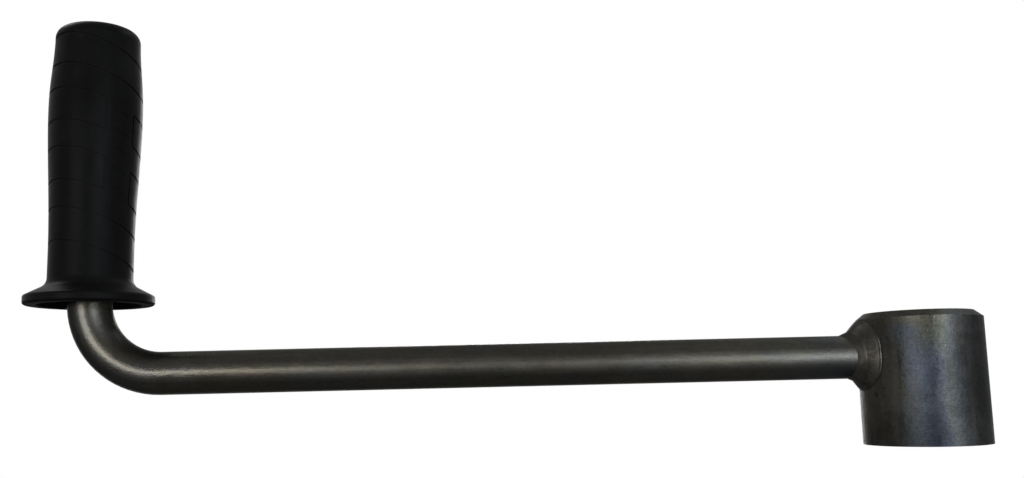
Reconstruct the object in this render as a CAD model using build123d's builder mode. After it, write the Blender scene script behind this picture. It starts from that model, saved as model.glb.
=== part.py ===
"""Hand crank: a round bar bent up into a spindle, welded to a bored hub, with a turning grip.

Millimetres. The origin is where the arm's axis crosses the hub's bore. +Z runs along the bore
towards the grip's side, and the arm runs along -X.
"""

import os
from math import asin, cos, degrees, radians, sin, sqrt

from build123d import *

os.makedirs("parts", exist_ok=True)

# Hub: turned round stock, bored and keyed for a shaft.
hub_diameter = 51.0
hub_above_arm = 18.1
hub_below_arm = 36.4
hub_chamfer_drop = 2.7
hub_chamfer_run = 3.4
bore_diameter = 25.0
bore_mouth_chamfer = 1.0
keyway_width = 8.0
keyway_depth = 3.3

# Arm: one round bar, bent once, with its far end turned down.
throw = 350.0
bar_diameter = 18.0
bend_radius = 31.0
shoulder_land = 0.8
shoulder_chamfer = 0.4

# Spindle that the grip turns on, and the journal that its end washer and ring sit on.
shoulder_step = 1.0
journal_step = 2.0
journal_tail = 1.6
journal_chamfer = 0.8

# Retaining ring for the journal, its groove and its two lugs.
ring_thickness = 1.0
ring_groove_depth = 0.25
ring_groove_play = 0.1
ring_width = 1.9
ring_lug_reach = 3.3
ring_lug_diameter = 3.4
ring_hole_diameter = 1.5
ring_gap = 2.6

# Washers under and over the sleeve.
thrust_washer_diameter = 26.0
thrust_washer_thickness = 1.2
end_washer_thickness = 1.6
end_washer_clearance = 0.8
washer_clearance = 0.15

# Sleeve inside the grip, from the thrust washer to just under the end washer.
sleeve_wall = 3.0
sleeve_mouth_chamfer = 0.6
sleeve_proud = 0.3
running_clearance = 0.05
end_play = 0.2

# Grip: one rubber moulding with a guard flange, a palm swell and a closed, domed end.
grip_length = 121.9
flange_diameter = 52.4
flange_rim = 3.8
flange_rise = 4.8
flange_edge_radius = 1.2
flange_neck_radius = 4.5
flange_recess_diameter = 42.0
flange_recess_depth = 4.2
neck_diameter = 34.2
neck_length = 22.0
swell_diameter = 37.6
swell_start_height = 70.0
swell_end_depth = 28.5
grip_end_diameter = 34.8
dome_edge_radius = 5.0
dome_crown = 1.4
dome_wall = 6.0
cavity_room = 3.0

# Slanted grooves round the grip, in pairs: each pair bounds a pad, and plain bands lie between.
pad_count = 4
first_groove_height = 19.3
last_groove_depth = 13.9
band_height = 11.3
groove_tilt = 21.5
groove_low_direction = 56.0
groove_width = 0.9
groove_depth = 0.45

# Plain field that interrupts the inner pads, with a column of short slanted bars in it.
field_direction = -37.0
field_angle = 40.0
field_bar_count = 5
field_bar_angle = 20.0
field_bar_width = 1.5
field_bar_spacing = 8.2
field_bar_depth = 0.3

# Weld between bar and hub: its leg reaches up to the hub's chamfer.
hub_radius = hub_diameter / 2
bar_radius = bar_diameter / 2
weld_leg = hub_above_arm - hub_chamfer_drop - bar_radius
weld_stub = hub_radius + 2 * weld_leg

# Diameters along the spindle.
spindle_diameter = bar_diameter - 2 * shoulder_step
journal_diameter = spindle_diameter - 2 * journal_step
ring_groove_diameter = journal_diameter - 2 * ring_groove_depth
sleeve_diameter = spindle_diameter + 2 * (running_clearance + sleeve_wall)
end_washer_diameter = sleeve_diameter - 2 * end_washer_clearance

# Heights from the arm's axis: up from the bend to the grip's lip, then down from the grip's top.
shoulder_height = bend_radius + shoulder_land
thrust_washer_top = shoulder_height + thrust_washer_thickness
recess_ceiling = thrust_washer_top + sleeve_proud
flange_lip = recess_ceiling - flange_recess_depth
neck_top = flange_lip + neck_length
grip_top = flange_lip + grip_length
dome_base = grip_top - dome_edge_radius - dome_crown
cavity_top = grip_top - dome_wall
journal_top = cavity_top - cavity_room
ring_groove_top = journal_top - journal_tail
end_washer_top = ring_groove_top - ring_thickness - ring_groove_play
spindle_top = end_washer_top - end_washer_thickness
sleeve_top = spindle_top - end_play

# Heights of the grip's slanted grooves, where they cross its axis.
grooved_length = grip_length - first_groove_height - last_groove_depth
pad_height = (grooved_length - (pad_count - 1) * band_height) / pad_count
pad_pitch = pad_height + band_height
pad_bottoms = [flange_lip + first_groove_height + index * pad_pitch for index in range(pad_count)]
pad_tops = [bottom + pad_height for bottom in pad_bottoms]
field_pads = pad_bottoms[1:-1]
field_bottom = field_pads[0] - band_height / 2
field_top = field_pads[-1] + pad_height + band_height / 2
cutter_radius = swell_diameter

# The grip's axis, and the plane of its half sections: local x is the radius, local y the height.
grip_axis = Axis((-throw, 0, 0), (0, 0, 1))
grip_section = Plane(origin=(-throw, 0, 0), x_dir=(1, 0, 0), z_dir=(0, -1, 0))


def across_grip(height):
    """Level plane centred on the grip's axis."""
    return Plane(origin=(-throw, 0, height), x_dir=(1, 0, 0), z_dir=(0, 0, 1))


def slanted_across_grip(height):
    """Plane of a slanted groove that crosses the grip's axis at this height."""
    tilt = radians(groove_tilt)
    low = radians(groove_low_direction)
    normal = (sin(tilt) * cos(low), sin(tilt) * sin(low), cos(tilt))
    return Plane(origin=(-throw, 0, height), z_dir=normal)


# ---------------------------------------------------------------- hub
with BuildPart() as hub:
    with BuildSketch(Plane.XY.offset(-hub_below_arm)):
        Circle(hub_radius)
    extrude(amount=hub_below_arm + hub_above_arm)
    top_face = hub.faces().sort_by(Axis.Z)[-1]
    chamfer(top_face.edges(), length=hub_chamfer_run, length2=hub_chamfer_drop, reference=top_face)
    with BuildSketch(Plane.XY.offset(-hub_below_arm)):
        Circle(bore_diameter / 2)
    extrude(amount=hub_below_arm + hub_above_arm, mode=Mode.SUBTRACT)
    bore_wall = hub.faces().filter_by(GeomType.CYLINDER).sort_by(SortBy.AREA)[0]
    chamfer(bore_wall.edges().filter_by(GeomType.CIRCLE), length=bore_mouth_chamfer)
    with BuildSketch(Plane.XY.offset(-hub_below_arm)):
        with Locations((bore_diameter / 2 + keyway_depth, 0)):
            Rectangle(bore_diameter / 2 + keyway_depth, keyway_width, align=(Align.MAX, Align.CENTER))
    extrude(amount=hub_below_arm + hub_above_arm, mode=Mode.SUBTRACT)

hub.part.label = "hub"
export_step(hub.part, "parts/hub.step")

# ---------------------------------------------------------------- crank arm
with BuildPart() as crank_arm:
    with BuildLine(Plane.XZ) as bar_path:
        run = Line((0, 0), (-(throw - bend_radius), 0))
        bend = JernArc(start=run @ 1, tangent=run % 1, radius=bend_radius, arc_size=-90)
        Line(bend @ 1, (-throw, shoulder_height))
    with BuildSketch(Plane(origin=bar_path.line @ 0, z_dir=bar_path.line % 0)):
        Circle(bar_radius)
    sweep()
    chamfer(crank_arm.edges().sort_by(Axis.Z)[-1], length=shoulder_chamfer)
    with BuildSketch(grip_section):
        with BuildLine():
            Polyline(
                (0, bend_radius),
                (spindle_diameter / 2, bend_radius),
                (spindle_diameter / 2, spindle_top),
                (journal_diameter / 2, spindle_top),
                (journal_diameter / 2, end_washer_top),
                (ring_groove_diameter / 2, end_washer_top),
                (ring_groove_diameter / 2, ring_groove_top),
                (journal_diameter / 2, ring_groove_top),
                (journal_diameter / 2, journal_top - journal_chamfer),
                (journal_diameter / 2 - journal_chamfer, journal_top),
                (0, journal_top),
                close=True,
            )
        make_face()
    revolve(axis=grip_axis)
    Cylinder(hub_radius, 2 * bar_diameter, mode=Mode.SUBTRACT)

crank_arm.part.label = "crank_arm"
export_step(crank_arm.part, "parts/crank_arm.step")

# ---------------------------------------------------------------- weld bead
bar_align = (Align.CENTER, Align.CENTER, Align.MIN)
with BuildPart() as weld_bead:
    Cylinder(hub_radius, 2 * hub_diameter)
    Cylinder(bar_radius, weld_stub, rotation=(0, -90, 0), align=bar_align)
    joint_line = weld_bead.edges().filter_by(GeomType.BSPLINE).sort_by(Axis.X)[0]
    chamfer(joint_line, length=weld_leg)
    Cylinder(hub_radius, 2 * hub_diameter, mode=Mode.SUBTRACT)
    Cylinder(bar_radius, weld_stub, rotation=(0, -90, 0), align=bar_align, mode=Mode.SUBTRACT)

weld_bead.part.label = "weld_bead"
export_step(weld_bead.part, "parts/weld_bead.step")

# ---------------------------------------------------------------- washers
with BuildPart() as thrust_washer:
    with BuildSketch(across_grip(shoulder_height)):
        Circle(thrust_washer_diameter / 2)
        Circle(spindle_diameter / 2 + washer_clearance, mode=Mode.SUBTRACT)
    extrude(amount=thrust_washer_thickness)

thrust_washer.part.label = "thrust_washer"
export_step(thrust_washer.part, "parts/thrust_washer.step")

with BuildPart() as end_washer:
    with BuildSketch(across_grip(spindle_top)):
        Circle(end_washer_diameter / 2)
        Circle(journal_diameter / 2 + washer_clearance, mode=Mode.SUBTRACT)
    extrude(amount=end_washer_thickness)

end_washer.part.label = "end_washer"
export_step(end_washer.part, "parts/end_washer.step")

# ---------------------------------------------------------------- retaining ring
lug_radius = ring_lug_diameter / 2
lug_side = ring_gap / 2 + lug_radius
lug_out = sqrt((ring_groove_diameter / 2 + ring_lug_reach - lug_radius) ** 2 - lug_side**2)
with BuildPart() as retaining_ring:
    with BuildSketch(across_grip(end_washer_top)):
        Circle(ring_groove_diameter / 2 + ring_width)
        with Locations((lug_out, -lug_side), (lug_out, lug_side)):
            Circle(lug_radius)
            Circle(ring_hole_diameter / 2, mode=Mode.SUBTRACT)
        Circle(ring_groove_diameter / 2, mode=Mode.SUBTRACT)
        Rectangle(lug_out + lug_radius, ring_gap, align=(Align.MIN, Align.CENTER), mode=Mode.SUBTRACT)
    extrude(amount=ring_thickness)

retaining_ring.part.label = "retaining_ring"
export_step(retaining_ring.part, "parts/retaining_ring.step")

# ---------------------------------------------------------------- sleeve
with BuildPart() as grip_sleeve:
    with BuildSketch(across_grip(thrust_washer_top)):
        Circle(sleeve_diameter / 2)
        Circle(spindle_diameter / 2 + running_clearance, mode=Mode.SUBTRACT)
    extrude(amount=sleeve_top - thrust_washer_top)
    mouths = grip_sleeve.edges().sort_by(SortBy.LENGTH)[:2]
    chamfer(mouths, length=sleeve_mouth_chamfer)

grip_sleeve.part.label = "grip_sleeve"
export_step(grip_sleeve.part, "parts/grip_sleeve.step")


# ---------------------------------------------------------------- grip
def draw_barrel(inset=0.0):
    """Outline of the barrel and its dome, from the neck's top to the axis, drawn under the surface."""
    end_radius = grip_end_diameter / 2 - inset
    edge_radius = dome_edge_radius - inset
    rise = edge_radius + dome_crown
    span = end_radius - edge_radius
    crown_radius = (span**2 + rise**2 - edge_radius**2) / (2 * dome_crown)
    crown_angle = degrees(asin(span / (crown_radius - edge_radius)))
    swell = Spline(
        (neck_diameter / 2 - inset, neck_top),
        (swell_diameter / 2 - inset, flange_lip + swell_start_height),
        (swell_diameter / 2 - inset, grip_top - swell_end_depth),
        (end_radius, dome_base),
        tangents=((0, 1), (0, 1)),
    )
    edge = JernArc(swell @ 1, (0, 1), radius=edge_radius, arc_size=90 - crown_angle)
    return JernArc(edge @ 1, edge % 1, radius=crown_radius, arc_size=crown_angle)


def draw_sector(angle):
    """Wedge out from the grip's axis, this many degrees wide, about the field's direction."""
    corners = [(0, 0)]
    for side in (-1, 1):
        direction = radians(field_direction + side * angle / 2)
        corners.append((2 * cutter_radius * cos(direction), 2 * cutter_radius * sin(direction)))
    return Polygon(*corners, align=None)


def make_core(inset):
    """Solid of the grip's barrel, this far under its surface."""
    with BuildPart() as core:
        with BuildSketch(grip_section):
            with BuildLine():
                crown = draw_barrel(inset)
                neck_radius = neck_diameter / 2 - inset
                Polyline(crown @ 1, (0, 0), (neck_radius, 0), (neck_radius, neck_top))
            make_face()
        revolve(axis=grip_axis)
    return core.part


groove_core = make_core(groove_depth)
field_bar_core = make_core(field_bar_depth)

# The slanted grooves: rings that the field interrupts at the inner pads, where the ends close them.
with BuildPart() as inner_pads:
    for bottom in field_pads:
        with BuildSketch(slanted_across_grip(bottom)):
            Circle(cutter_radius)
        extrude(amount=pad_height * cos(radians(groove_tilt)))

with BuildPart() as pad_ends:
    with BuildSketch(across_grip(field_bottom)):
        for side in (-1, 1):
            with Locations(Rotation(0, 0, field_direction + side * field_angle / 2)):
                Rectangle(cutter_radius, groove_width, align=(Align.MIN, Align.CENTER))
    extrude(amount=field_top - field_bottom)
    add(inner_pads.part, mode=Mode.INTERSECT)

with BuildPart() as grooves:
    for height in pad_bottoms + pad_tops:
        with BuildSketch(slanted_across_grip(height)):
            Circle(cutter_radius)
        extrude(amount=groove_width / 2, both=True)
    with BuildSketch(across_grip(field_bottom)):
        draw_sector(field_angle)
    extrude(amount=field_top - field_bottom, mode=Mode.SUBTRACT)
    add(pad_ends.part)
    add(groove_core, mode=Mode.SUBTRACT)

with BuildPart() as field_bars:
    for index in range(field_bar_count):
        step = (index - (field_bar_count - 1) / 2) * field_bar_spacing
        with BuildSketch(slanted_across_grip((field_bottom + field_top) / 2 + step)):
            Circle(cutter_radius)
        extrude(amount=field_bar_width / 2, both=True)
    with BuildSketch(across_grip(field_bottom)):
        draw_sector(field_bar_angle)
    extrude(amount=field_top - field_bottom, mode=Mode.INTERSECT)
    add(field_bar_core, mode=Mode.SUBTRACT)

with BuildPart() as grip:
    with BuildSketch(grip_section):
        with BuildLine():
            crown = draw_barrel()
            FilletPolyline(
                (neck_diameter / 2, neck_top),
                (neck_diameter / 2, flange_lip + flange_rim + flange_rise),
                (flange_diameter / 2, flange_lip + flange_rim),
                (flange_diameter / 2, flange_lip),
                (flange_recess_diameter / 2, flange_lip),
                (flange_recess_diameter / 2, recess_ceiling),
                (sleeve_diameter / 2, recess_ceiling),
                radius=(flange_neck_radius, flange_edge_radius, flange_edge_radius, 0, 0),
            )
            Polyline(
                (sleeve_diameter / 2, recess_ceiling),
                (sleeve_diameter / 2, cavity_top),
                (0, cavity_top),
                crown @ 1,
            )
        make_face()
    revolve(axis=grip_axis)
    add(grooves.part, mode=Mode.SUBTRACT)
    add(field_bars.part, mode=Mode.SUBTRACT)

grip.part.label = "grip"
export_step(grip.part, "parts/grip.step")
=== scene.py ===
"""Dresses the hand crank for show: a bare steel bar and hub, their weld, and a black rubber grip.

Metres, in the model's own frame: the origin is where the arm's axis crosses the hub's bore, +Z
runs along the bore towards the grip's side, and the arm runs along -X.
"""

from math import pi, radians

import bmesh
import bpy
import numpy as np
from mathutils import Matrix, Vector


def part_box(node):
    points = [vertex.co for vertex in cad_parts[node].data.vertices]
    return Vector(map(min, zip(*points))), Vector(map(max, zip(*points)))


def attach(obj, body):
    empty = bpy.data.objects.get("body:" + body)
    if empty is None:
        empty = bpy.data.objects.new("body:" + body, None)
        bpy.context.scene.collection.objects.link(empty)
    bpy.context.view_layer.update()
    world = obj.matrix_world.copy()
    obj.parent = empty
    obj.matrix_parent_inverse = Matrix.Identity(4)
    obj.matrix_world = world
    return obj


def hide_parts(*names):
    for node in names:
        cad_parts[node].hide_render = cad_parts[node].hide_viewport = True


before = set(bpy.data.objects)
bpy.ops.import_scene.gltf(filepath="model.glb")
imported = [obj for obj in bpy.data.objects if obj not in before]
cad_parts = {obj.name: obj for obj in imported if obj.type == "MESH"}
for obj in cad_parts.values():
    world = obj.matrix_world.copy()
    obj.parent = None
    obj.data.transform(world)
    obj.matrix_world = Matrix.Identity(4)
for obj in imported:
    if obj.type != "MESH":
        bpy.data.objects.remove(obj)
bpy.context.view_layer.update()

# ---------------------------------------------------------------- studio
# A pale one-sided floor well below the crank, white surroundings, a wide soft lamp over the floor,
# soft lamps in front, a little above the arm (a warm one to the left, a cool pair to the right), and
# three plain ones behind, so that the far side is lit as well as the near one.
WHITE = (1.0, 1.0, 1.0)
CAMERA_PLACE = (-0.17453, -0.43902, -0.01023)
CAMERA_TURN_DEGREES = (98.2586, 1.3495, -0.2682)
CAMERA_LENS_MM = 36.508
CAMERA_SENSOR_MM = 36.0
CAMERA_NEAREST = 0.01
SURROUNDINGS_SEEN = 1.0
SURROUNDINGS_LIGHT = 0.26
LAMP_AIM = (-0.17, 0.0, 0.02)
LAMP_DISTANCE = 1.5
TOP_LAMP_DISTANCE = 2.2
FLOOR_HEIGHT = -0.20
FLOOR_HALF_SIZE = 6.0
FLOOR_COLOUR = (0.74, 0.735, 0.725)
FLOOR_PLAIN_RADIUS = 0.55
FLOOR_WHITE_RADIUS = 1.45


def place(tree, kind, inputs=None, **settings):
    """Adds a node, and sets or joins its inputs by name or number."""
    node = tree.nodes.new(kind)
    for name, value in settings.items():
        setattr(node, name, value)
    for socket, value in (inputs or {}).items():
        if isinstance(value, bpy.types.NodeSocket):
            tree.links.new(value, node.inputs[socket])
        else:
            node.inputs[socket].default_value = value
    return node


def reckon(tree, operation, *values):
    """A Math node on up to three numbers or sockets."""
    inputs = {index: value for index, value in enumerate(values)}
    return place(tree, "ShaderNodeMath", inputs, operation=operation).outputs[0]


def product(tree, *values):
    """Several numbers multiplied together."""
    result = values[0]
    for value in values[1:]:
        result = reckon(tree, "MULTIPLY", result, value)
    return result


def total(tree, *values):
    """Several numbers added together."""
    result = values[0]
    for value in values[1:]:
        result = reckon(tree, "ADD", result, value)
    return result


def fade(tree, value, start, end, low=0.0, high=1.0):
    """A smooth change from low to high while value goes from start to end."""
    node = place(tree, "ShaderNodeMapRange", {0: value, 1: start, 2: end, 3: low, 4: high},
                 interpolation_type="SMOOTHSTEP")
    return node.outputs[0]


def moved(tree, point, offset):
    """The point shifted by an offset."""
    return place(tree, "ShaderNodeVectorMath", {0: point, 1: offset}, operation="ADD").outputs[0]


def split(tree, point):
    """The three numbers of a point."""
    return place(tree, "ShaderNodeSeparateXYZ", {0: point}).outputs


def length(tree, *parts):
    """The length of a way whose parts stand square to each other."""
    return reckon(tree, "SQRT", total(tree, *[product(tree, part, part) for part in parts]))


def sees_surroundings(tree):
    """1 for the rays that show the surroundings: straight, mirrored or through glass."""
    path = place(tree, "ShaderNodeLightPath").outputs
    seen = reckon(tree, "MAXIMUM", path["Is Camera Ray"], path["Is Glossy Ray"])
    return reckon(tree, "MAXIMUM", seen, path["Is Transmission Ray"])


scene = bpy.context.scene
scene.view_settings.view_transform = "Standard"

camera_lens = bpy.data.cameras.new("camera")
camera_lens.sensor_width = CAMERA_SENSOR_MM
camera_lens.lens = CAMERA_LENS_MM
camera_lens.clip_start = CAMERA_NEAREST
camera = bpy.data.objects.new("camera", camera_lens)
camera.location = CAMERA_PLACE
camera.rotation_euler = [radians(turn) for turn in CAMERA_TURN_DEGREES]
scene.collection.objects.link(camera)
scene.camera = camera

surroundings = bpy.data.worlds.new("surroundings")
surroundings.use_nodes = True
scene.world = surroundings
tree = surroundings.node_tree
tree.nodes.clear()
light_level = place(tree, "ShaderNodeMapRange", {
    0: sees_surroundings(tree), 3: SURROUNDINGS_LIGHT, 4: SURROUNDINGS_SEEN})
background = place(tree, "ShaderNodeBackground", {
    "Color": (*WHITE, 1.0), "Strength": light_level.outputs[0]})
place(tree, "ShaderNodeOutputWorld", {"Surface": background.outputs[0]})


def hang_lamp(name, turn, rise, size, colour, power, distance=LAMP_DISTANCE, mirrored=True):
    """A soft lamp that faces the crank, turned from straight in front and raised, in degrees."""
    lamp = bpy.data.lights.new(name, "AREA")
    lamp.shape = "RECTANGLE"
    lamp.size, lamp.size_y = size
    lamp.color = colour
    lamp.energy = power
    lamp_object = bpy.data.objects.new(name, lamp)
    turn, rise = radians(turn), radians(rise)
    aim = Matrix.Translation(LAMP_AIM)
    facing = Matrix.Rotation(turn, 4, "Z") @ Matrix.Rotation(pi / 2 - rise, 4, "X")
    lamp_object.matrix_world = aim @ facing @ Matrix.Translation((0, 0, distance))
    lamp_object.visible_glossy = mirrored
    lamp_object.visible_camera = False
    scene.collection.objects.link(lamp_object)


hang_lamp("warm_lamp", turn=-27.5, rise=1.5, size=(0.78, 0.42), colour=(1.0, 0.965, 0.90), power=15.0)
hang_lamp("cool_lamp", turn=28.5, rise=3.5, size=(0.66, 0.52), colour=(0.91, 0.965, 1.0), power=17.5)
hang_lamp("side_lamp", turn=44.0, rise=10.0, size=(0.60, 0.80), colour=(0.92, 0.965, 1.0), power=5.0)
hang_lamp("far_lamp", turn=180.0, rise=7.0, size=(0.50, 0.70), colour=(1.0, 1.0, 0.98), power=8.0)
hang_lamp("far_left_lamp", turn=-120.0, rise=46.0, size=(0.50, 0.50), colour=(1.0, 0.985, 0.96), power=6.0)
hang_lamp("far_right_lamp", turn=120.0, rise=46.0, size=(0.50, 0.50), colour=(0.96, 0.985, 1.0), power=6.0)
hang_lamp("top_lamp", turn=0.0, rise=88.0, size=(3.0, 3.0), colour=WHITE, power=6.0,
          distance=TOP_LAMP_DISTANCE, mirrored=False)

floor_mesh = bpy.data.meshes.new("floor")
floor_corners = [(x * FLOOR_HALF_SIZE, y * FLOOR_HALF_SIZE, FLOOR_HEIGHT)
                 for x, y in ((-1, -1), (1, -1), (1, 1), (-1, 1))]
floor_mesh.from_pydata(floor_corners, [], [(0, 1, 2, 3)])
floor = bpy.data.objects.new("floor", floor_mesh)
scene.collection.objects.link(floor)
floor_paint = bpy.data.materials.new("floor_paint")
floor_paint.use_nodes = True
tree = floor_paint.node_tree
tree.nodes.clear()
floor_point = place(tree, "ShaderNodeTexCoord").outputs["Object"]
off_centre = split(tree, moved(tree, floor_point, [-part for part in LAMP_AIM]))
outer_floor = fade(tree, length(tree, off_centre[0], off_centre[1]), FLOOR_PLAIN_RADIUS, FLOOR_WHITE_RADIUS)
whiteness = product(tree, outer_floor, sees_surroundings(tree))
matt = place(tree, "ShaderNodeBsdfDiffuse", {"Color": (*FLOOR_COLOUR, 1.0)})
white = place(tree, "ShaderNodeEmission", {"Color": (*WHITE, 1.0), "Strength": SURROUNDINGS_SEEN})
joined = place(tree, "ShaderNodeMixShader", {0: whiteness, 1: matt.outputs[0], 2: white.outputs[0]})
from_below = place(tree, "ShaderNodeNewGeometry").outputs["Backfacing"]
see_through = place(tree, "ShaderNodeBsdfTransparent")
one_sided = place(tree, "ShaderNodeMixShader", {
    0: from_below, 1: joined.outputs[0], 2: see_through.outputs[0]})
place(tree, "ShaderNodeOutputMaterial", {"Surface": one_sided.outputs[0]})
floor_mesh.materials.append(floor_paint)

# ---------------------------------------------------------------- hub
# Turned round stock, bored and keyed for a shaft, and left bare: fine turning marks, oil smears,
# and the brown, blue and straw bands that the weld's heat drew. Its colour also holds painted shade,
# low on the bar's side and in an upright band on each side. Every turn below is in degrees round
# the hub, from 0 at the bar to 90 on the middle of a side.
HUB_RADIUS = round(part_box("hub")[1][0], 6)
HUB_STEEL = (0.0236, 0.0240, 0.0242)
HUB_ROUGHNESS = (0.35, 0.43)
HUB_TURNING_PITCH = 0.00035
HUB_EDGE_RADIUS = 0.0007
HUB_HEAT_REACH = 0.0470
HUB_HEAT_SPREAD = 0.30
HUB_HEAT_LEAN = 0.10
HUB_HEAT_ROUGHNESS = 0.05
OILY_TURN = (88, 104)
OILY_ROUGHNESS = 0.05
RIM_BEIGE = (1.30, 1.22, 1.02)
RIM_BEIGE_HEIGHTS = (0.0095, 0.0150)
RIM_BEIGE_TURN = (105, 80)
STRAW = (1.14, 1.16, 0.94)
STRAW_HEIGHTS = (-0.0030, 0.0100)
STRAW_TURN = ((57, 78), (99, 84))
STRAW_RAGGEDNESS = 20.05
LOW_SIDE_SHADE_HEIGHTS = (-0.012, -0.036)
LOW_SIDE_SHADE_TURN = (98, 82)
PAINTED_SHADE_BAND_HEIGHTS = ((-0.032, -0.020), (0.0105, 0.0060))
PAINTED_SHADE_BAND_TURN = (85, 93)
FLUX_HEIGHTS = ((-0.0195, -0.0160), (-0.0105, -0.0140))
FLUX_TURN = ((10, 20), (48, 28))
HUB_MARKS = {"flux": 0.45, "soot_and_painted_shade": 0.66, "painted_shade_band": 0.76, "drips": 0.76, "edges": 1.7,
             "nicks": 1.9, "scratches": 1.3}
HUB_RELIEF = {"rings": 0.7, "dapple": 2.2, "dents": 5.0}
SMEAR_STRETCH, SMEAR_SCALE = (1.0, 1.0, 0.16), 260.0
DAPPLE_STRETCH, DAPPLE_SCALE = (1.0, 1.0, 1.5), 640.0
DRIP_STRETCH, DRIP_SCALE = (1.0, 1.0, 0.22), 330.0
DRIP_EDGE = (0.62, 0.72)
FLUX_SCALE = 420.0
FLUX_EDGE = (0.50, 0.64)
DENT_SCALE = 300.0
STRAW_STRENGTH = 0.9
RIM_BEIGE_STRENGTH = 0.85
STEEL_SPECULAR_TINT = (0.5, 0.5, 0.5, 1.0)
NOISE_REACH = (0.3, 0.7)
TEMPER_DRIFT = 0.22
TEMPER_STOPS = (
    (0.00, (1.30, 1.22, 1.06)), (0.26, (1.16, 1.10, 0.97)), (0.42, (1.04, 1.02, 0.94)),
    (0.52, (0.90, 0.99, 1.14)), (0.63, (0.83, 0.97, 1.28)), (0.74, (0.86, 0.95, 1.20)),
    (0.84, (0.98, 1.03, 1.04)), (0.93, (0.94, 1.01, 1.10)), (1.00, WHITE))
SCRATCH_STRETCH = (70.0, 900.0, 330.0)
SCRATCH_HALF_WIDTH = 0.018
RING_WANDER = 40.0


def new_finish(name, steel=True):
    """A material with one Principled shader: its tree, that shader, and the object's own points."""
    finish = bpy.data.materials.new(name)
    finish.use_nodes = True
    tree = finish.node_tree
    tree.nodes.clear()
    shader = place(tree, "ShaderNodeBsdfPrincipled")
    place(tree, "ShaderNodeOutputMaterial", {"Surface": shader.outputs[0]})
    if steel:
        shader.inputs["Metallic"].default_value = 1.0
        shader.inputs["Specular Tint"].default_value = STEEL_SPECULAR_TINT
    return finish, tree, shader, place(tree, "ShaderNodeTexCoord").outputs["Object"]


def new_effect(name, inputs, outputs):
    """An empty shader group with named sockets, and the sockets that bring its inputs."""
    group = bpy.data.node_groups.new(name, "ShaderNodeTree")
    for way, sockets in (("INPUT", inputs), ("OUTPUT", outputs)):
        for socket, kind in sockets.items():
            group.interface.new_socket(name=socket, in_out=way, socket_type="NodeSocket" + kind)
    return group, place(group, "NodeGroupInput").outputs


def use_effect(tree, group, **inputs):
    """Places a shader group in a tree and returns its outputs."""
    return place(tree, "ShaderNodeGroup", inputs, node_tree=group).outputs


def noise(tree, point, scale, detail=3.0, roughness=0.55, distortion=0.0):
    """Noise on a point, as a number round 0.5."""
    return place(tree, "ShaderNodeTexNoise", {
        "Vector": point, "Scale": scale, "Detail": detail, "Roughness": roughness,
        "Distortion": distortion}).outputs[0]


def stretched(tree, point, scales):
    """The point with each of its axes scaled by its own amount."""
    return place(tree, "ShaderNodeVectorMath", {0: point, 1: scales}, operation="MULTIPLY").outputs[0]


def varied(tree, field, low, high, reach=NOISE_REACH):
    """A number that follows a noise from low to high, over the noise's usual reach."""
    return fade(tree, field, *reach, low, high)


def marked(tree, mask, amount):
    """1 on the plain surface, and the amount where the mask is 1."""
    return fade(tree, mask, 0.0, 1.0, 1.0, amount)


def between(tree, value, rise, fall):
    """0 beyond the first number of each pair, and 1 between the second numbers."""
    return product(tree, fade(tree, value, *rise), fade(tree, value, *fall))


def specks(tree, point, scale, luck, size, edge, channel=0):
    """Scattered round specks: only the luckiest cells of a grid hold one, the luckiest the biggest."""
    cells = place(tree, "ShaderNodeTexVoronoi", {"Vector": point, "Scale": scale}).outputs
    chance = place(tree, "ShaderNodeSeparateColor", {0: cells["Color"]}).outputs[channel]
    radius = fade(tree, chance, luck, 1.0, 0.0, size)
    return fade(tree, reckon(tree, "SUBTRACT", radius, cells["Distance"]), 0.0, edge)


def mixed(tree, mask, first, second, blend="MIX"):
    """Two colours mixed, multiplied or otherwise blended by a mask."""
    inputs = {0: mask}
    for index, colour in ((6, first), (7, second)):
        inputs[index] = colour if isinstance(colour, bpy.types.NodeSocket) else (*colour, 1.0)
    return place(tree, "ShaderNodeMix", inputs, data_type="RGBA", blend_type=blend).outputs[2]


def toned(tree, colour, tone):
    """A colour multiplied by another, channel by channel."""
    return mixed(tree, 1.0, colour, tone, "MULTIPLY")


def shaded(tree, colour, shade):
    """A colour made darker or lighter by a number."""
    grey = place(tree, "ShaderNodeCombineColor", {0: shade, 1: shade, 2: shade}).outputs[0]
    return toned(tree, colour, grey)


def banded(tree, value, stops):
    """A smooth ramp through (place, colour) stops."""
    node = place(tree, "ShaderNodeValToRGB", {0: value})
    elements = node.color_ramp.elements
    node.color_ramp.interpolation = "EASE"
    while len(elements) < len(stops):
        elements.new(1.0)
    for element, (position, colour) in zip(elements, stops):
        element.position = position
        element.color = (*colour, 1.0)
    return node.outputs[0]


def finish_surface(tree, shader, colour, dullness, relief, depth, strength):
    """Joins a colour, a roughness and a relief to the shader; the relief is depth metres deep."""
    tree.links.new(colour, shader.inputs["Base Color"])
    tree.links.new(dullness, shader.inputs["Roughness"])
    bump = place(tree, "ShaderNodeBump", {"Strength": strength, "Distance": depth, "Height": relief})
    tree.links.new(bump.outputs[0], shader.inputs["Normal"])


def dress(node, finish):
    """Puts a finish in every material slot of one of the frame's nodes."""
    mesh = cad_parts[node].data
    for index in range(len(mesh.materials)):
        mesh.materials[index] = finish


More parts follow.
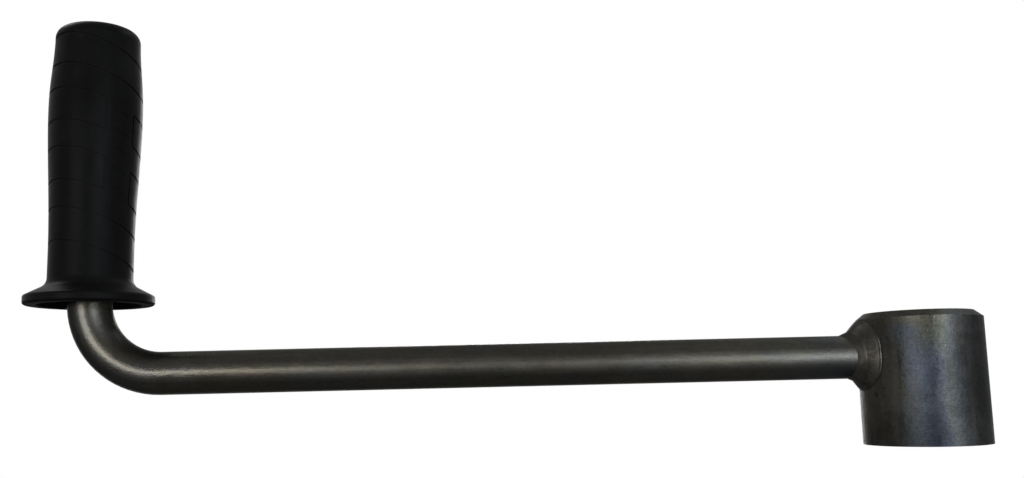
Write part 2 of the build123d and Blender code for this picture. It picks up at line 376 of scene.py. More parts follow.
# Temper colours: what heat leaves on bare steel, by the way off from the weld in metres.
temper, given = new_effect("temper_colours", {
    "Distance": "Float", "Reach": "Float", "Position": "Vector", "Plain": "Color",
    "Strength": "Float"}, {"Colour": "Color", "Heat": "Float"})
drift = reckon(temper, "SUBTRACT", noise(temper, given["Position"], 60.0), 0.5)
heat_way = reckon(temper, "DIVIDE", given["Distance"], given["Reach"])
heat_way = total(temper, heat_way, product(temper, drift, TEMPER_DRIFT))
tint = mixed(temper, given["Strength"], WHITE, banded(temper, heat_way, TEMPER_STOPS))
place(temper, "NodeGroupOutput", {
    "Colour": toned(temper, given["Plain"], tint), "Heat": fade(temper, heat_way, 1.0, 0.2)})

# Bare steel's own unevenness: soft mottling, scattered nicks and light scratches.
patina, given = new_effect("bare_steel_patina", {"Position": "Vector", "Fineness": "Float"}, {
    "Mottle": "Float", "Nicks": "Float", "Scratches": "Float", "Height": "Float"})
grain_point = place(patina, "ShaderNodeVectorMath", {
    0: given["Position"], "Scale": given["Fineness"]}, operation="SCALE").outputs[0]
nicks = specks(patina, grain_point, 330.0, luck=0.90, size=0.20, edge=0.12)
scratch_field = noise(patina, stretched(patina, grain_point, SCRATCH_STRETCH), 1.0,
                      detail=2.0, roughness=0.5, distortion=0.5)
scratch_line = reckon(patina, "ABSOLUTE", reckon(patina, "SUBTRACT", scratch_field, 0.5))
scratch_patch = fade(patina, noise(patina, grain_point, 55.0, detail=2.0), 0.56, 0.68)
scratches = product(patina, fade(patina, scratch_line, SCRATCH_HALF_WIDTH, 0.0), scratch_patch)
cuts = total(patina, product(patina, nicks, 1.6), product(patina, scratches, 0.6))
place(patina, "NodeGroupOutput", {
    "Mottle": noise(patina, grain_point, 130.0, detail=5.0, roughness=0.62, distortion=0.3),
    "Nicks": nicks, "Scratches": scratches,
    "Height": reckon(patina, "SUBTRACT", noise(patina, grain_point, 900.0, detail=2.0), cuts)})

# Edge wear: 1 along corners, where a rounded normal leaves the real one, and 0 on plain faces.
edge_wear, given = new_effect("edge_wear", {
    "Radius": "Float", "Position": "Vector", "Patchiness": "Float"}, {"Edge": "Float"})
rounded = place(edge_wear, "ShaderNodeBevel", {"Radius": given["Radius"]}, samples=6).outputs[0]
plain = place(edge_wear, "ShaderNodeNewGeometry").outputs["Normal"]
agreement = place(edge_wear, "ShaderNodeVectorMath", {0: rounded, 1: plain},
                  operation="DOT_PRODUCT").outputs["Value"]
unworn = product(edge_wear, fade(edge_wear, noise(edge_wear, given["Position"], 420.0), 0.60, 0.40),
                 given["Patchiness"])
place(edge_wear, "NodeGroupOutput", {"Edge": product(
    edge_wear, fade(edge_wear, agreement, 0.99, 0.88), reckon(edge_wear, "SUBTRACT", 1.0, unworn))})

# Turning marks: fine rings that the lathe leaves round an upright axis, on walls and end faces.
turning, given = new_effect("turning_marks", {"Position": "Vector", "Pitch": "Float"}, {
    "Rings": "Float"})
spot = split(turning, given["Position"])
off_axis = length(turning, spot[0], spot[1])
feed = reckon(turning, "DIVIDE", total(turning, spot[2], off_axis), given["Pitch"])
feed_point = place(turning, "ShaderNodeCombineXYZ", {
    0: feed, 1: product(turning, spot[0], RING_WANDER),
    2: product(turning, spot[1], RING_WANDER)}).outputs[0]
place(turning, "NodeGroupOutput", {"Rings": noise(turning, feed_point, 0.35, detail=4.0, roughness=0.7)})

hub_finish, tree, shader, point = new_finish("turned_hub_steel")
spot = split(tree, point)
round_the_hub = reckon(tree, "ARCTAN2", reckon(tree, "ABSOLUTE", spot[1]), product(tree, spot[0], -1.0))
turn = reckon(tree, "DEGREES", round_the_hub)
from_weld = length(tree, product(tree, round_the_hub, HUB_RADIUS), product(tree, spot[2], HUB_HEAT_SPREAD))
from_weld = total(tree, from_weld, product(tree, spot[2], HUB_HEAT_LEAN))
heat = use_effect(tree, temper, Distance=from_weld, Reach=HUB_HEAT_REACH, Position=point,
                  Plain=(*HUB_STEEL, 1.0), Strength=1.0)
wear = use_effect(tree, patina, Position=point, Fineness=1.0)
rings = use_effect(tree, turning, Position=point, Pitch=HUB_TURNING_PITCH)["Rings"]
edges = use_effect(tree, edge_wear, Radius=HUB_EDGE_RADIUS, Position=point, Patchiness=0.6)["Edge"]
smears = noise(tree, stretched(tree, point, SMEAR_STRETCH), SMEAR_SCALE, roughness=0.6, distortion=0.5)
dapple = noise(tree, stretched(tree, point, DAPPLE_STRETCH), DAPPLE_SCALE,
               detail=4.0, roughness=0.7, distortion=0.4)
dents = noise(tree, point, DENT_SCALE, detail=2.0, roughness=0.5)
drip_field = noise(tree, stretched(tree, point, DRIP_STRETCH), DRIP_SCALE, detail=2.0, roughness=0.5)
drips = fade(tree, drip_field, *DRIP_EDGE)
ragged_turn = total(tree, turn, product(tree, reckon(tree, "SUBTRACT", smears, 0.5), STRAW_RAGGEDNESS))
in_straw = product(tree, fade(tree, spot[2], *STRAW_HEIGHTS), between(tree, ragged_turn, *STRAW_TURN))
near_rim = product(tree, fade(tree, spot[2], *RIM_BEIGE_HEIGHTS), fade(tree, turn, *RIM_BEIGE_TURN))
straw = toned(tree, HUB_STEEL, STRAW)
beige = toned(tree, HUB_STEEL, RIM_BEIGE)
colour = mixed(tree, product(tree, in_straw, STRAW_STRENGTH), heat["Colour"], straw)
colour = mixed(tree, product(tree, near_rim, RIM_BEIGE_STRENGTH), colour, beige)
flux_field = noise(tree, point, FLUX_SCALE, detail=4.0, roughness=0.7, distortion=0.4)
flux = product(tree, fade(tree, flux_field, *FLUX_EDGE),
               between(tree, spot[2], *FLUX_HEIGHTS), between(tree, turn, *FLUX_TURN))
# Painted shade: the hub is darker low down on the bar's side.
soot_and_painted_shade = product(tree, fade(tree, spot[2], *LOW_SIDE_SHADE_HEIGHTS), fade(tree, turn, *LOW_SIDE_SHADE_TURN))
# Painted shade: a darker upright band on each side, from about 90 degrees round, that dims the highlight
# there.
painted_shade_band = product(tree, between(tree, spot[2], *PAINTED_SHADE_BAND_HEIGHTS), fade(tree, turn, *PAINTED_SHADE_BAND_TURN))
shade = product(
    tree, marked(tree, flux, HUB_MARKS["flux"]), marked(tree, soot_and_painted_shade, HUB_MARKS["soot_and_painted_shade"]),
    marked(tree, painted_shade_band, HUB_MARKS["painted_shade_band"]), marked(tree, drips, HUB_MARKS["drips"]),
    marked(tree, edges, HUB_MARKS["edges"]), marked(tree, wear["Nicks"], HUB_MARKS["nicks"]),
    marked(tree, wear["Scratches"], HUB_MARKS["scratches"]),
    varied(tree, smears, 0.86, 1.14, reach=(0.30, 0.72)),
    varied(tree, wear["Mottle"], 0.84, 1.14, reach=(0.30, 0.72)),
    varied(tree, dapple, 0.86, 1.14), varied(tree, rings, 0.95, 1.05))
dullness = total(
    tree, varied(tree, smears, *HUB_ROUGHNESS), product(tree, heat["Heat"], HUB_HEAT_ROUGHNESS),
    fade(tree, turn, *OILY_TURN, 0.0, OILY_ROUGHNESS))
relief = total(tree, product(tree, rings, HUB_RELIEF["rings"]), product(tree, dapple, HUB_RELIEF["dapple"]),
               product(tree, dents, HUB_RELIEF["dents"]), wear["Height"])
finish_surface(tree, shader, shaded(tree, colour, shade), dullness, relief, depth=0.00006, strength=0.45)
dress("hub", hub_finish)

# ---------------------------------------------------------------- crank arm
# One length of drawn round bar, bent cold and left bare: draw lines run along it and round the
# bend under a skin of oil, with a few rust freckles, and heat colours where the weld is. Its colour
# also holds painted shade on its underside and along its top, and painted light and shade inside
# the bend.
BAR_RADIUS = round(-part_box("crank_arm")[0][2], 6)
THROW = round(-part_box("crank_arm")[0][0] - BAR_RADIUS, 6)
BEND_RADIUS = 0.031
SHOULDER_HEIGHT = round(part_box("thrust_washer")[0][2], 6)
BAR_STEEL = (0.0325, 0.0315, 0.0284)
BAR_ROUGHNESS = (0.30, 0.36)
BAR_HEAT_START = 0.058
BAR_HEAT_REACH = 0.105
BAR_HEAT_STRENGTH = 0.38
DRAW_LINE_SCALE = (30.0, 900.0, 900.0)
OIL_SCALE = (60.0, 120.0, 120.0)
FILM_SCALE = (34.0, 60.0, 60.0)
FILM_STOPS = (
    (0.34, (1.06, 1.00, 0.95)), (0.46, (1.03, 1.02, 0.95)), (0.54, WHITE), (0.66, (0.96, 1.00, 1.05)))
PATINA_SCALE = (0.45, 1.0, 1.0)
GRAIN_STRETCH = (0.6, 1.0, 1.0)
MILL_SCALE_FINENESS = 900.0
BAR_DENT_SCALE = 240.0
BAR_RELIEF = {"draw_lines": 0.7, "dents": 2.0, "mill_scale": 1.8}
BAR_MARKS = {"nicks": 0.70, "scratches": 0.60}
RUST = (0.040, 0.021, 0.011)
RUST_ROUGHNESS = 0.3
UNDERSIDE_SHADE_SPAN = (0.0012, 0.0052)
UNDERSIDE_PAINTED_SHADE = 0.46
BRUSHED_STRETCH = (-0.150, -0.080)
BRUSHED_SHADE = 1.27
BRUSHED_ROUGHNESS = 0.055
UPPER_SHADE_BAND = ((-0.0024, -0.0042), (-0.0084, -0.0068))
UPPER_PAINTED_SHADE = 0.78
BEND_INSIDE = (-0.0010, -0.0065)
BEND_STRETCH = (0.020, -0.010)
BEND_HEIGHTS = (0.009, 0.022)
BEND_PAINTED_SHADE_AND_LIGHT = (0.68, 1.6)
BEND_INSIDE_ROUGHNESS = 0.13
BEND_POLISH_REACH = 0.05
BEND_POLISH_ROUGHNESS = -0.06
SPINDLE_RUN_IN = 0.0002
SPINDLE_PITCH = 0.0003


def from_grip_axis(tree, point):
    """The point as it lies from the grip's axis, at the end of the throw."""
    return moved(tree, point, (THROW, 0.0, 0.0))


bar_finish, tree, shader, point = new_finish("drawn_bar_steel")
spot = split(tree, point)
past_bend = total(tree, spot[0], THROW - BEND_RADIUS)
above_bend = reckon(tree, "SUBTRACT", spot[2], BEND_RADIUS)
bend_x = reckon(tree, "MINIMUM", past_bend, 0.0)
bend_z = reckon(tree, "MINIMUM", above_bend, 0.0)
outward = reckon(tree, "SUBTRACT", length(tree, bend_x, bend_z), BEND_RADIUS)
bend_turn = reckon(tree, "ARCTAN2", product(tree, bend_x, -1.0), product(tree, bend_z, -1.0))
straight_run = reckon(
    tree, "SUBTRACT", reckon(tree, "MAXIMUM", above_bend, 0.0), reckon(tree, "MAXIMUM", past_bend, 0.0))
along = total(tree, product(tree, bend_turn, BEND_RADIUS), straight_run)
bar_point = place(tree, "ShaderNodeCombineXYZ", {0: along, 1: spot[1], 2: outward}).outputs[0]
grain_point = stretched(tree, bar_point, GRAIN_STRETCH)
from_weld = reckon(tree, "SUBTRACT", BAR_HEAT_START - HUB_RADIUS, spot[0])
heat = use_effect(tree, temper, Distance=from_weld, Reach=BAR_HEAT_REACH, Position=point,
                  Plain=(*BAR_STEEL, 1.0), Strength=BAR_HEAT_STRENGTH)
wear = use_effect(tree, patina, Position=stretched(tree, bar_point, PATINA_SCALE), Fineness=0.9)
draw_lines = noise(tree, stretched(tree, bar_point, DRAW_LINE_SCALE), 1.0, detail=4.0, roughness=0.6)
oil = noise(tree, stretched(tree, bar_point, OIL_SCALE), 1.0, detail=4.0, roughness=0.65, distortion=0.6)
mill_scale = noise(tree, grain_point, MILL_SCALE_FINENESS, detail=5.0, roughness=0.75, distortion=0.3)
dents = noise(tree, grain_point, BAR_DENT_SCALE, detail=2.0, roughness=0.5)
film = banded(tree, noise(tree, stretched(tree, bar_point, FILM_SCALE), 1.0, roughness=0.6), FILM_STOPS)
# Painted shade and light on the inside of the bend: darker low down, lighter high up.
inside_bend = product(tree, fade(tree, outward, *BEND_INSIDE), fade(tree, past_bend, *BEND_STRETCH))
# Painted shade: a band along the upper side of the arm's straight run is darker.
upper_painted_shade = product(tree, between(tree, outward, *UPPER_SHADE_BAND), fade(tree, past_bend, 0.0, BEND_STRETCH[0]))
shade = product(
    tree, marked(tree, inside_bend, fade(tree, spot[2], *BEND_HEIGHTS, *BEND_PAINTED_SHADE_AND_LIGHT)),
    # Painted shade: the bar's underside, and the spindle's outer side, are darker.
    marked(tree, upper_painted_shade, UPPER_PAINTED_SHADE), fade(tree, outward, *UNDERSIDE_SHADE_SPAN, 1.0, UNDERSIDE_PAINTED_SHADE),
    fade(tree, spot[0], *BRUSHED_STRETCH, 1.0, BRUSHED_SHADE),
    marked(tree, wear["Nicks"], BAR_MARKS["nicks"]), marked(tree, wear["Scratches"], BAR_MARKS["scratches"]),
    varied(tree, draw_lines, 0.95, 1.05), varied(tree, oil, 0.92, 1.07, reach=(0.32, 0.68)),
    varied(tree, mill_scale, 0.87, 1.13), varied(tree, wear["Mottle"], 0.93, 1.06))
freckles = product(
    tree, specks(tree, bar_point, 95.0, luck=0.88, size=0.20, edge=0.10, channel=1),
    fade(tree, noise(tree, point, 900.0, detail=2.0), 0.40, 0.60))
colour = shaded(tree, toned(tree, heat["Colour"], film), shade)
colour = mixed(tree, freckles, colour, RUST)
dullness = total(
    tree, varied(tree, oil, *BAR_ROUGHNESS), product(tree, freckles, RUST_ROUGHNESS),
    product(tree, inside_bend, BEND_INSIDE_ROUGHNESS),
    fade(tree, past_bend, 0.0, BEND_POLISH_REACH, BEND_POLISH_ROUGHNESS, 0.0),
    fade(tree, spot[0], *BRUSHED_STRETCH, 0.0, BRUSHED_ROUGHNESS))
relief = total(tree, product(tree, draw_lines, BAR_RELIEF["draw_lines"]),
               product(tree, dents, BAR_RELIEF["dents"]),
               product(tree, mill_scale, BAR_RELIEF["mill_scale"]), wear["Height"])

# The spindle above the shoulder is turned down and bright, so it has rings instead of draw lines.
rings = use_effect(tree, turning, Position=from_grip_axis(tree, point), Pitch=SPINDLE_PITCH)["Rings"]
turned_down = fade(tree, spot[2], SHOULDER_HEIGHT, SHOULDER_HEIGHT + SPINDLE_RUN_IN)
bright = shaded(tree, BAR_STEEL, varied(tree, rings, 1.4, 2.4))
colour = mixed(tree, turned_down, colour, bright)
finish_surface(tree, shader, colour, dullness, relief, depth=0.00007, strength=0.5)
dress("crank_arm", bar_finish)

# ---------------------------------------------------------------- weld
# Two passes of weld metal laid round the bar's end: the first bites the bar, the second rolls on
# to the hub. It runs far up the bar on top, and is smaller underneath. Left as it was laid. Its
# colour holds painted highlights on its sides, at the hub's toe and where the two passes meet.
WELD_STEPS_ROUND = 360
WELD_STEPS_ACROSS = 44
WELD_ROOT_DEPTH = 0.0004
BAR_LEG = {"side": 0.0060, "top": 0.0092, "bottom": 0.0064}
HUB_LEG = {"side": 0.0047, "top": 0.0068, "bottom": 0.0052, "corner": 0.0009}
PASS_MEETING = 0.36
PASS_BULGES = (0.00030, 0.00016)
TOE_LIP = {"side": 0.00034, "top": 0.00006, "bottom": 0.00016}
TOE_LIP_SPOT = (0.93, 0.045)
TOE_HOLLOW = {"side": 0.0002, "top": 0.0010, "bottom": 0.0009}
HOLLOW_PEAK = 4 / 27
WELD_STEEL = (0.0205, 0.0199, 0.0182)
WELD_SOOT_STOPS = ((0.32, (0.72, 0.66, 0.60)), (0.50, WHITE), (0.70, (1.30, 1.24, 1.12)))
RAGGEDNESS = 0.05
TOE_PAINTED_HIGHLIGHT = (2.0, 2.0, 1.95)
TOE_HIGHLIGHT_START = (0.900, 0.925)
TOE_HIGHLIGHT_LEVEL = (0.0085, 0.0051)
VALLEY_SPOT = 0.39
VALLEY_WIDTH = 0.03
VALLEY_LEVEL = (0.006, 0.004)
VALLEY_PAINTED_HIGHLIGHT = 0.45


def round_the_bar(turn, amounts):
    """A size that changes smoothly round the arm's axis, from its side to its top and bottom."""
    rise = np.sin(turn)
    upper = amounts["top"] - amounts["side"]
    lower = amounts["bottom"] - amounts["side"]
    return amounts["side"] + np.where(rise > 0, upper, lower) * rise**2


def shape_weld():
    """The weld as a closed ring: its face from bar to hub, and a root sunk into the joint."""
    turn = np.linspace(0.0, 2 * pi, WELD_STEPS_ROUND, endpoint=False)[:, None]
    across = (0.5 - 0.5 * np.cos(np.linspace(0.0, pi, WELD_STEPS_ACROSS)))[None, :]
    hub_leg = round_the_bar(turn, HUB_LEG) + HUB_LEG["corner"] * np.sin(2 * turn) ** 2
    bar_leg = round_the_bar(turn, BAR_LEG)
    hub_at_bar = np.sqrt(HUB_RADIUS**2 - (BAR_RADIUS * np.cos(turn)) ** 2)
    hub_toe_out = BAR_RADIUS + hub_leg
    hub_at_toe = np.sqrt(HUB_RADIUS**2 - (hub_toe_out * np.cos(turn)) ** 2)
    bar_toe = np.stack(
        np.broadcast_arrays(-(hub_at_bar + bar_leg), BAR_RADIUS - WELD_ROOT_DEPTH / 2), -1)
    hub_toe = np.stack(np.broadcast_arrays(WELD_ROOT_DEPTH / 2 - hub_at_toe, hub_toe_out), -1)
    face = bar_toe + (hub_toe - bar_toe) * across[..., None]
    slope = hub_toe - bar_toe
    outward = np.stack([-slope[..., 1], slope[..., 0]], -1)
    outward /= np.linalg.norm(outward, axis=-1, keepdims=True)
    first = np.clip(across / PASS_MEETING, 0, 1)
    second = np.clip((across - PASS_MEETING) / (1 - PASS_MEETING), 0, 1)
    bulge = PASS_BULGES[0] * np.sin(pi * first) + PASS_BULGES[1] * np.sin(pi * second)
    lip_middle, lip_width = TOE_LIP_SPOT
    bulge = bulge + round_the_bar(turn, TOE_LIP) * np.exp(-(((second - lip_middle) / lip_width) ** 2))
    hollow = round_the_bar(turn, TOE_HOLLOW) / HOLLOW_PEAK * across * (1 - across) ** 2
    face = face + outward * (bulge - hollow)[..., None]
    root = np.stack([WELD_ROOT_DEPTH - hub_at_bar, np.full_like(turn, BAR_RADIUS - WELD_ROOT_DEPTH)], -1)
    profile = np.concatenate([face, root], 1)
    steps = profile.shape[1]
    x, out = profile[..., 0], profile[..., 1]
    points = np.stack([x, -out * np.cos(turn), out * np.sin(turn)], -1).reshape(-1, 3)
    faces = []
    for ring in range(WELD_STEPS_ROUND):
        following = (ring + 1) % WELD_STEPS_ROUND
        for step in range(steps):
            further = (step + 1) % steps
            faces.append((ring * steps + step, ring * steps + further,
                          following * steps + further, following * steps + step))
    mesh = bpy.data.meshes.new("weld_metal")
    mesh.from_pydata(points.tolist(), [], faces)
    over = np.concatenate([across[0], [-1.0]])
    way = mesh.attributes.new("over_the_bead", "FLOAT", "POINT")
    way.data.foreach_set("value", np.tile(over, WELD_STEPS_ROUND).astype(np.float32))
    mesh.shade_smooth()
    return mesh


def new_growth(name, inputs, output):
    """An empty geometry tree with named sockets, and the sockets that bring its inputs."""
    tree = bpy.data.node_groups.new(name, "GeometryNodeTree")
    tree.interface.new_socket(name=output, in_out="OUTPUT", socket_type="NodeSocketGeometry")
    for socket, kind in inputs.items():
        tree.interface.new_socket(name=socket, in_out="INPUT", socket_type="NodeSocket" + kind)
    return tree, place(tree, "NodeGroupInput").outputs


def end_growth(tree, geometry, finish):
    """Ends a geometry tree: its instances made real, and its finish put on."""
    real = place(tree, "GeometryNodeRealizeInstances", {0: geometry})
    dressed = place(tree, "GeometryNodeSetMaterial", {"Geometry": real.outputs[0], "Material": finish})
    place(tree, "NodeGroupOutput", {0: dressed.outputs[0]})


def build_ripples():
    """Geometry nodes that lay crescent ripples over the weld and roughen it a little."""
    tree, given = new_growth("weld_ripples", {
        "Bead": "Geometry", "Ripples Round": "Float", "Ripple Height": "Float", "Crescent": "Float",
        "Roughness Height": "Float", "Roughness Scale": "Float", "Seed": "Float",
        "Finish": "Material"}, output="Weld")
    over = place(tree, "GeometryNodeInputNamedAttribute", {"Name": "over_the_bead"},
                 data_type="FLOAT").outputs["Attribute"]
    position = place(tree, "GeometryNodeInputPosition").outputs[0]
    spot = split(tree, position)
    turn = reckon(tree, "ARCTAN2", spot[2], product(tree, spot[1], -1.0))
    off_middle = reckon(tree, "SUBTRACT", over, 0.5)
    lag = product(tree, off_middle, off_middle, given["Crescent"])
    ripple = reckon(tree, "SINE", total(tree, product(tree, turn, given["Ripples Round"]), lag))
    unevenness = place(tree, "ShaderNodeTexNoise", {
        "Vector": position, "W": given["Seed"], "Scale": given["Roughness Scale"], "Detail": 2.0},
        noise_dimensions="4D").outputs[0]
    swell = total(tree, product(tree, ripple, given["Ripple Height"]), product(
        tree, reckon(tree, "SUBTRACT", unevenness, 0.5), given["Roughness Height"]))
    part_over = reckon(tree, "MINIMUM", reckon(tree, "MAXIMUM", over, 0.0), 1.0)
    on_face = reckon(tree, "SINE", product(tree, part_over, pi))
    normal = place(tree, "GeometryNodeInputNormal").outputs[0]
    push = place(tree, "ShaderNodeVectorMath", {
        0: normal, "Scale": product(tree, swell, on_face)}, operation="SCALE").outputs[0]
    laid = place(tree, "GeometryNodeSetPosition", {"Geometry": given["Bead"], "Offset": push})
    end_growth(tree, laid.outputs[0], given["Finish"])
    return tree


def grow(name, mesh, tree, **settings):
    """Runs a geometry tree on a mesh with the given settings, and returns a plain mesh object."""
    seedling = bpy.data.objects.new(name + "_before", mesh)
    scene.collection.objects.link(seedling)
    modifier = seedling.modifiers.new(tree.name, "NODES")
    modifier.node_group = tree
    for item in tree.interface.items_tree:
        key = item.name.replace(" ", "_").lower()
        if item.in_out == "INPUT" and key in settings:
            modifier[item.identifier] = settings[key]
    seen = seedling.evaluated_get(bpy.context.evaluated_depsgraph_get())
    grown_mesh = bpy.data.meshes.new_from_object(seen)
    grown_mesh.name = name
    seedling.modifiers.remove(modifier)
    bpy.data.objects.remove(seedling)
    grown = bpy.data.objects.new(name, grown_mesh)
    scene.collection.objects.link(grown)
    return grown


weld_finish, tree, shader, point = new_finish("weld_steel")
wear = use_effect(tree, patina, Position=point, Fineness=1.5)
# On the weld this noise sets only the soot's colour and the roughness.
soot_and_painted_shade = noise(tree, point, 240.0, detail=4.0, roughness=0.6, distortion=0.3)
colour = shaded(tree, toned(tree, WELD_STEEL, banded(tree, soot_and_painted_shade, WELD_SOOT_STOPS)), varied(
    tree, wear["Mottle"], 0.85, 1.15))
over = place(tree, "ShaderNodeAttribute", attribute_name="over_the_bead").outputs["Fac"]
ragged = total(tree, over, product(tree, reckon(tree, "SUBTRACT", soot_and_painted_shade, 0.5), RAGGEDNESS))
level = reckon(tree, "ABSOLUTE", split(tree, point)[2])
# Painted highlight: a bright line along the hub's toe, on the weld's sides.
toe_highlight = product(tree, fade(tree, ragged, *TOE_HIGHLIGHT_START), fade(tree, level, *TOE_HIGHLIGHT_LEVEL))
# Painted highlight: a bright line where the two passes meet, on the weld's sides.
off_valley = reckon(tree, "ABSOLUTE", reckon(tree, "SUBTRACT", ragged, VALLEY_SPOT))
valley_highlight = product(tree, fade(tree, off_valley, VALLEY_WIDTH, 0.0), fade(tree, level, *VALLEY_LEVEL),
                 VALLEY_PAINTED_HIGHLIGHT)
bright = reckon(tree, "MAXIMUM", toe_highlight, valley_highlight)
colour = mixed(tree, bright, colour, toned(tree, colour, TOE_PAINTED_HIGHLIGHT))
finish_surface(tree, shader, colour, varied(tree, soot_and_painted_shade, 0.50, 0.38), wear["Height"],
               depth=0.00008, strength=0.4)

bead_mesh = shape_weld()
bm = bmesh.new()
bm.from_mesh(bead_mesh)
bmesh.ops.recalc_face_normals(bm, faces=bm.faces)
bm.to_mesh(bead_mesh)
bm.free()
weld = grow("weld_metal", bead_mesh, build_ripples(), ripples_round=74.0, ripple_height=0.000016,
            crescent=9.0, roughness_height=0.00030, roughness_scale=330.0, seed=4.0, finish=weld_finish)
weld.data.shade_smooth()
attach(weld, "crank")
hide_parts("weld_bead")

# ---------------------------------------------------------------- weld spatter
# Tiny drops of weld metal thrown on to the hub's wall and the bar, which froze where they hit.
# They are low, and less than half a millimetre across.
SPATTER_HEIGHTS = (-0.028, 0.012)
SPATTER_TURN = radians(95)
SPATTER_BAR = (0.042, 0.070)
SPATTER_HUB_GRID = (48, 20)
SPATTER_BAR_GRID = (32, 12)
SPATTER_CLEAR_OF_WELD = 0.0175
SPATTER_RADII = (0.00008, 0.00024)
SPATTER_FLATNESS = 0.7


def spot_on_hub(turn, level):
    """A point of the hub's wall on the bar's side, for a turn and a level from 0 to 1."""
    angle = (2 * turn - 1) * SPATTER_TURN
    height = SPATTER_HEIGHTS[0] + level * (SPATTER_HEIGHTS[1] - SPATTER_HEIGHTS[0])
    return -HUB_RADIUS * np.cos(angle), HUB_RADIUS * np.sin(angle), height


def spot_on_bar(turn, level):
    """A point of the bar's wall near the weld, for a turn and a level from 0 to 1."""
    x = -SPATTER_BAR[0] - level * (SPATTER_BAR[1] - SPATTER_BAR[0])
    return x, BAR_RADIUS * np.sin(2 * pi * turn), BAR_RADIUS * np.cos(2 * pi * turn)


def spatter_ground():
    """The stretches of hub wall and bar that spatter reaches, as one open mesh."""
    mesh = bpy.data.meshes.new("spatter_ground")
    points, faces = [], []
    for spot_on_wall, (turns, levels) in ((spot_on_hub, SPATTER_HUB_GRID), (spot_on_bar, SPATTER_BAR_GRID)):
        first = len(points)
        for turn in range(turns + 1):
            points += [spot_on_wall(turn / turns, level / levels) for level in range(levels + 1)]
        for turn in range(turns):
            for level in range(levels):
                corner = first + turn * (levels + 1) + level
                face = (corner, corner + levels + 1, corner + levels + 2, corner + 1)
                centre = np.mean([points[index] for index in face], axis=0)
                if centre[0] < -SPATTER_BAR[0] or np.hypot(centre[1], centre[2]) > SPATTER_CLEAR_OF_WELD:
                    faces.append(face)
    mesh.from_pydata(points, [], faces)
    return mesh


def build_spatter():
    """Geometry nodes that scatter flattened drops over a surface, by a fixed seed."""
    tree, given = new_growth("weld_spatter", {
        "Ground": "Geometry", "Apart": "Float", "Most Per Area": "Float", "Least Radius": "Float",
        "Most Radius": "Float", "Flatness": "Float", "Seed": "Int", "Finish": "Material"},
        output="Drops")
    spread = place(tree, "GeometryNodeDistributePointsOnFaces", {
        "Mesh": given["Ground"], "Distance Min": given["Apart"], "Density Max": given["Most Per Area"],
        "Seed": given["Seed"]}, distribute_method="POISSON")
    drop = place(tree, "GeometryNodeMeshIcoSphere", {"Radius": 1.0, "Subdivisions": 2})
    squash = place(tree, "ShaderNodeCombineXYZ", {0: 1.0, 1: 1.0, 2: given["Flatness"]})
    flat = place(tree, "GeometryNodeTransform", {0: drop.outputs[0], "Scale": squash.outputs[0]})
    size = place(tree, "FunctionNodeRandomValue", {
        2: given["Least Radius"], 3: given["Most Radius"], "Seed": given["Seed"]}, data_type="FLOAT")
    placed = place(tree, "GeometryNodeInstanceOnPoints", {
        "Points": spread.outputs["Points"], "Instance": flat.outputs[0],
        "Rotation": spread.outputs["Rotation"], "Scale": size.outputs[1]})
    end_growth(tree, placed.outputs[0], given["Finish"])
    return tree


spatter_finish, tree, shader, point = new_finish("spatter_steel")
wear = use_effect(tree, patina, Position=point, Fineness=3.0)
colour = shaded(tree, BAR_STEEL, varied(tree, wear["Mottle"], 0.6, 1.5))
finish_surface(tree, shader, colour, varied(tree, wear["Mottle"], 0.30, 0.42), wear["Height"],
               depth=0.00002, strength=0.2)

spatter = grow("weld_spatter", spatter_ground(), build_spatter(), apart=0.0045, most_per_area=9000.0,
               least_radius=SPATTER_RADII[0], most_radius=SPATTER_RADII[1], flatness=SPATTER_FLATNESS,
               seed=11, finish=spatter_finish)
spatter.data.shade_smooth()
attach(spatter, "crank")

# ---------------------------------------------------------------- washers and ring
# A plated thrust washer under the sleeve, a plated end washer over it, and a spring steel ring
# that snaps into the journal's groove and keeps the grip on.
WASHER_STEEL = (0.090, 0.088, 0.082)
WASHER_PITCH = 0.00025
WASHER_EDGE_RADIUS = 0.0002
RING_STEEL = (0.020, 0.020, 0.021)

washer_finish, tree, shader, point = new_finish("plated_washer_steel")
rings = use_effect(tree, turning, Position=from_grip_axis(tree, point), Pitch=WASHER_PITCH)["Rings"]
wear = use_effect(tree, patina, Position=point, Fineness=1.6)
edges = use_effect(tree, edge_wear, Radius=WASHER_EDGE_RADIUS, Position=point, Patchiness=0.4)["Edge"]
shade = product(tree, varied(tree, rings, 0.75, 1.2), varied(tree, wear["Mottle"], 0.8, 1.15),
                marked(tree, edges, 1.5))
finish_surface(tree, shader, shaded(tree, WASHER_STEEL, shade), varied(tree, wear["Mottle"], 0.30, 0.45),
               total(tree, rings, wear["Height"]), depth=0.00004, strength=0.3)
dress("thrust_washer", washer_finish)
dress("end_washer", washer_finish)

ring_finish, tree, shader, point = new_finish("spring_ring_steel")
wear = use_effect(tree, patina, Position=point, Fineness=2.0)
colour = shaded(tree, RING_STEEL, varied(tree, wear["Mottle"], 0.7, 1.3))
finish_surface(tree, shader, colour, varied(tree, wear["Mottle"], 0.35, 0.5), wear["Height"],
               depth=0.00003, strength=0.3)
dress("retaining_ring", ring_finish)

# ---------------------------------------------------------------- sleeve
# A length of natural nylon tube, pressed into the grip, that runs on the greased spindle.
# Drawing it left faint lines along its wall.
SLEEVE_PLASTIC = (0.75, 0.74, 0.70)
SLEEVE_SPECULAR = 0.15
SLEEVE_FLOW_SCALE = (700.0, 700.0, 30.0)

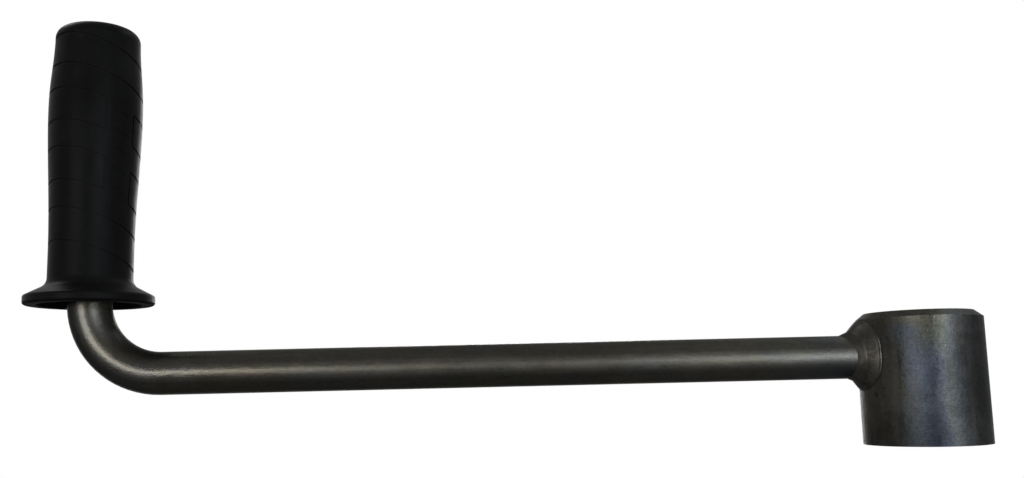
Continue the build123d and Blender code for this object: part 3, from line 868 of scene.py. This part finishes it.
sleeve_finish, tree, shader, point = new_finish("sleeve_plastic", steel=False)
shader.inputs["Specular IOR Level"].default_value = SLEEVE_SPECULAR
flow = noise(tree, stretched(tree, point, SLEEVE_FLOW_SCALE), 1.0)
grease = noise(tree, point, 150.0)
colour = shaded(tree, SLEEVE_PLASTIC, varied(tree, grease, 0.8, 1.3))
finish_surface(tree, shader, colour, varied(tree, grease, 0.3, 0.5), flow, depth=0.00003, strength=0.3)
dress("grip_sleeve", sleeve_finish)

# ---------------------------------------------------------------- grip
# One moulding of soft black rubber: a matt, finely grained skin, polished by hands on the swell,
# with a little dust in patches, a painted sheen along the edges of its grooves, and painted shade
# under its flange.
GRIP_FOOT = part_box("grip")[0][2]
GRIP_RUBBER = (0.0023, 0.0023, 0.0024)
GRIP_ROUGHNESS = (0.38, 0.48)
GRIP_SPECULAR = 0.016
GRIP_SPECULAR_TINT = (0.90, 0.95, 1.0, 1.0)
GRIP_EDGE_RADIUS = 0.0006
GRIP_FLOW_SCALE = (260.0, 260.0, 26.0)
DUST_AND_SHEEN = (0.0110, 0.0106, 0.0098)
DUST_IN_PATCHES = 0.35
SHEEN_ON_EDGES = 0.22
HAND_HEIGHT = 0.100
HAND_REACH = 0.060
HAND_POLISH = -0.04
UNDER_FLANGE = (0.0012, 0.0005)
UNDER_FLANGE_PAINTED_SHADE = 0.5
UNDER_FLANGE_ROUGHNESS = 0.4

grip_finish, tree, shader, point = new_finish("grip_rubber", steel=False)
shader.inputs["Specular IOR Level"].default_value = GRIP_SPECULAR
shader.inputs["Specular Tint"].default_value = GRIP_SPECULAR_TINT
height = split(tree, point)[2]
grain = noise(tree, point, 2400.0, detail=2.0)
cloud = noise(tree, point, 55.0, detail=4.0)
flow = noise(tree, stretched(tree, point, GRIP_FLOW_SCALE), 1.0)
off_hand = reckon(tree, "ABSOLUTE", reckon(tree, "SUBTRACT", height, HAND_HEIGHT))
handled = fade(tree, off_hand, HAND_REACH, 0.0)
edges = use_effect(tree, edge_wear, Radius=GRIP_EDGE_RADIUS, Position=point, Patchiness=0.5)["Edge"]
# Painted shade: the rubber is darker on the flange's underside.
under_flange = fade(tree, height, GRIP_FOOT + UNDER_FLANGE[0], GRIP_FOOT + UNDER_FLANGE[1])
dusty_patches = fade(tree, noise(tree, point, 95.0, detail=4.0, roughness=0.65), 0.55, 0.75)
dusty_grain = fade(tree, noise(tree, point, 1500.0, detail=2.0), 0.45, 0.65)
# Dust in patches, and a painted sheen: the edges of the grooves are lighter.
dust_and_sheen = reckon(tree, "MAXIMUM", product(tree, dusty_patches, dusty_grain, DUST_IN_PATCHES),
               product(tree, edges, SHEEN_ON_EDGES))
shade = product(tree, varied(tree, cloud, 0.85, 1.15), varied(tree, flow, 0.90, 1.12),
                marked(tree, under_flange, UNDER_FLANGE_PAINTED_SHADE))
colour = mixed(tree, dust_and_sheen, shaded(tree, GRIP_RUBBER, shade), DUST_AND_SHEEN)
dullness = total(tree, varied(tree, cloud, *GRIP_ROUGHNESS), product(tree, handled, HAND_POLISH),
                 product(tree, under_flange, UNDER_FLANGE_ROUGHNESS))
finish_surface(tree, shader, colour, dullness, total(tree, grain, product(tree, flow, 0.8)),
               depth=0.00005, strength=0.3)
dress("grip", grip_finish)
